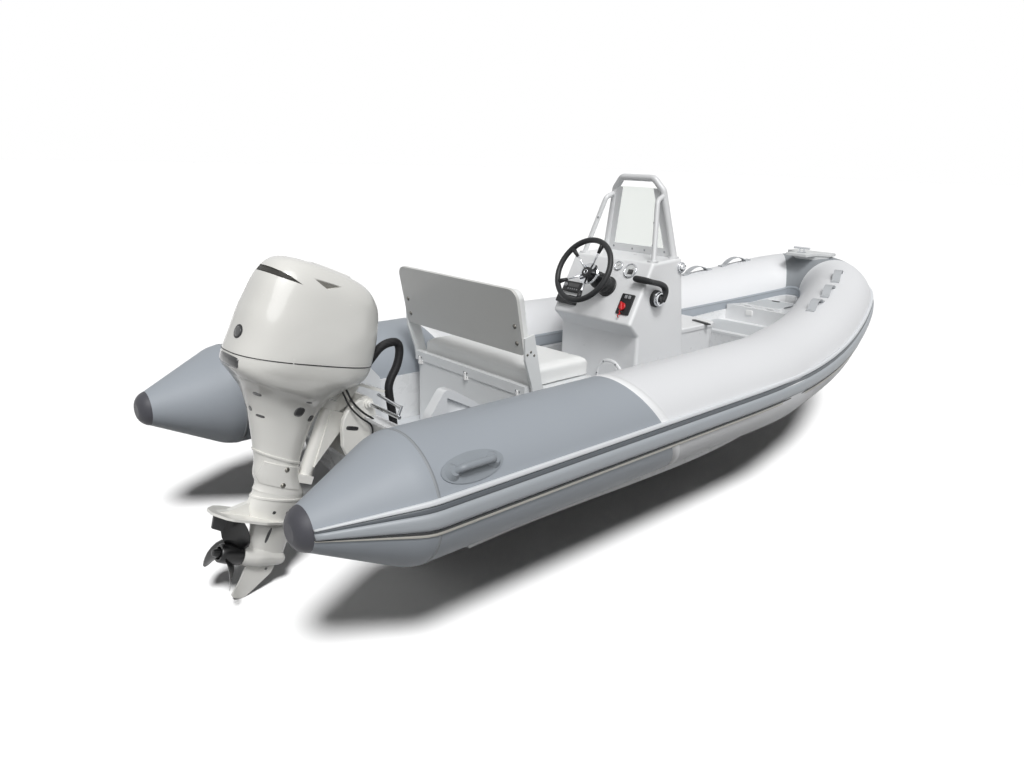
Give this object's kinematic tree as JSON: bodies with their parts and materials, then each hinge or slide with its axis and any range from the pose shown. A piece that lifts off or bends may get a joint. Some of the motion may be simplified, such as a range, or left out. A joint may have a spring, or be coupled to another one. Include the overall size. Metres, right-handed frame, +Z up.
{
  "type": "rigid inflatable boat",
  "caption": "Rigid inflatable boat with a vee hull, grey and white tubes, steering console, bench seat and a tilted outboard motor.",
  "frame": {"origin": "centreline where the transom's aft face meets the waterline", "axes": "+X towards the bow, +Y to port, +Z up"},
  "size_m": [4.9131, 1.994, 1.6927],
  "materials": {
    "gelcoat_white": "satin gelcoat",
    "deck_grey": "non-skid gelcoat",
    "fabric_grey": "matt coated fabric",
    "fabric_white": "matt coated fabric",
    "strake_grey": "moulded strake",
    "cap_dark": "moulded rubber",
    "vinyl_white": "marine vinyl",
    "board_grey": "smooth",
    "black_plastic": "textured",
    "chrome_trim": "polished",
    "rail_paint": "powder coated",
    "screen_clear": "clear acrylic",
    "motor_white": "pearl gloss",
    "motor_block": "dark",
    "steel": "brushed",
    "screw_black": "gloss black"
  },
  "bodies": {
    "boat": {"hull": "gelcoat_white", "transom": "gelcoat_white", "transom_cap": "gelcoat_white", "transom_knees": "gelcoat_white", "deck": "deck_grey", "tube_aft_port": "fabric_grey", "tube_aft_starboard": "fabric_grey", "tube_mid_port": "fabric_white", "tube_mid_starboard": "fabric_white", "tube_bow": "fabric_grey", "cone_cap_port": "cap_dark", "cone_cap_starboard": "cap_dark", "rub_strake": "strake_grey", "carry_handle_port": "fabric_grey", "carry_handle_starboard": "fabric_grey", "tape_handles_port": "fabric_grey", "tape_handles_starboard": "fabric_grey", "console": "gelcoat_white", "front_seat": "gelcoat_white", "bench_base": "gelcoat_white", "helm_hub": "black_plastic", "gauges": "chrome_trim", "throttle": "black_plastic", "switch_panel": "black_plastic", "radio": "black_plastic", "lamp": "chrome_trim", "grab_rail": "rail_paint", "windscreen": "screen_clear", "bow_locker": "gelcoat_white", "bow_step": "gelcoat_white", "bow_cleat": "chrome_trim", "clamp_bracket": "motor_white"},
    "bench_top": {"bench_lid": "gelcoat_white", "bench_cushion": "vinyl_white", "backrest_board": "board_grey", "backrest_pad": "vinyl_white", "backrest_brackets": "gelcoat_white"},
    "front_lid": {"front_seat_lid": "vinyl_white"},
    "bow_lid": {"bow_locker_lid": "gelcoat_white"},
    "wheel": {"steering_wheel": "black_plastic"},
    "tilt_unit": {"swivel_bracket": "motor_white"},
    "ram": {"steering_ram": "steel"},
    "trim_barrel": {"trim_cylinder": "motor_white"},
    "trim_piston": {"trim_rod": "steel"},
    "motor": {"cowl_upper": "motor_white", "cowl_lower": "motor_white", "powerhead": "motor_block", "midsection": "motor_white", "steering_arm": "motor_white", "gearcase": "motor_white", "trim_tab": "black_plastic"},
    "screw": {"propeller": "screw_black"}
  },
  "joints": [
    {"name": "motor_tilt", "type": "hinge", "parent": "boat", "child": "tilt_unit", "pos_m": [-0.07, 0, 0.385], "axis": [0, 1, 0], "range_deg": [-24, 46]},
    {"name": "motor_steer", "type": "hinge", "parent": "tilt_unit", "child": "motor", "pos_m": [-0.27521, 0, 0.21912], "axis": [0.4067, 0, 0.9135], "range_deg": [-30, 30]},
    {"name": "propeller_spin", "type": "hinge", "parent": "motor", "child": "screw", "pos_m": [-0.67205, 0, -0.15589], "axis": [0.9135, 0, -0.4067], "continuous": true},
    {"name": "ram_slide", "type": "slide", "parent": "tilt_unit", "child": "ram", "axis": [0, 1, 0], "range_m": [-0.1135, 0.1135]},
    {"name": "trim_barrel_swing", "type": "hinge", "parent": "boat", "child": "trim_barrel", "pos_m": [-0.052, 0, 0.108], "axis": [0, 1, 0], "range_deg": [-3, 3]},
    {"name": "trim_rod_slide", "type": "slide", "parent": "trim_barrel", "child": "trim_piston", "axis": [-0.4032, 0, 0.9151], "range_m": [-0.04, 0.072]},
    {"name": "wheel_turn", "type": "hinge", "parent": "boat", "child": "wheel", "pos_m": [1.29161, -0.042, 0.83621], "axis": [-0.8824, 0, 0.4704], "range_deg": [-541, 541]},
    {"name": "bench_lid_hinge", "type": "hinge", "parent": "boat", "child": "bench_top", "pos_m": [0.9965, 0, 0.374], "axis": [0, 1, 0], "range_deg": [0, 60]},
    {"name": "front_lid_hinge", "type": "hinge", "parent": "boat", "child": "front_lid", "pos_m": [1.905, 0, 0.478], "axis": [0, 1, 0], "range_deg": [-70, 0]},
    {"name": "bow_lid_hinge", "type": "hinge", "parent": "boat", "child": "bow_lid", "pos_m": [3.209, 0, 0.4145], "axis": [0, 1, 0], "range_deg": [-75, 0]}
  ],
  "couplings": [
    {"joint": "ram_slide", "follows": "motor_steer", "m_per_rad": 0.2149},
    {"joint": "wheel_turn", "follows": "motor_steer", "ratio": -18},
    {"joint": "trim_barrel_swing", "follows": "motor_tilt", "ratio": -0.04},
    {"joint": "trim_rod_slide", "follows": "motor_tilt", "m_per_rad": 0.08021}
  ]
}
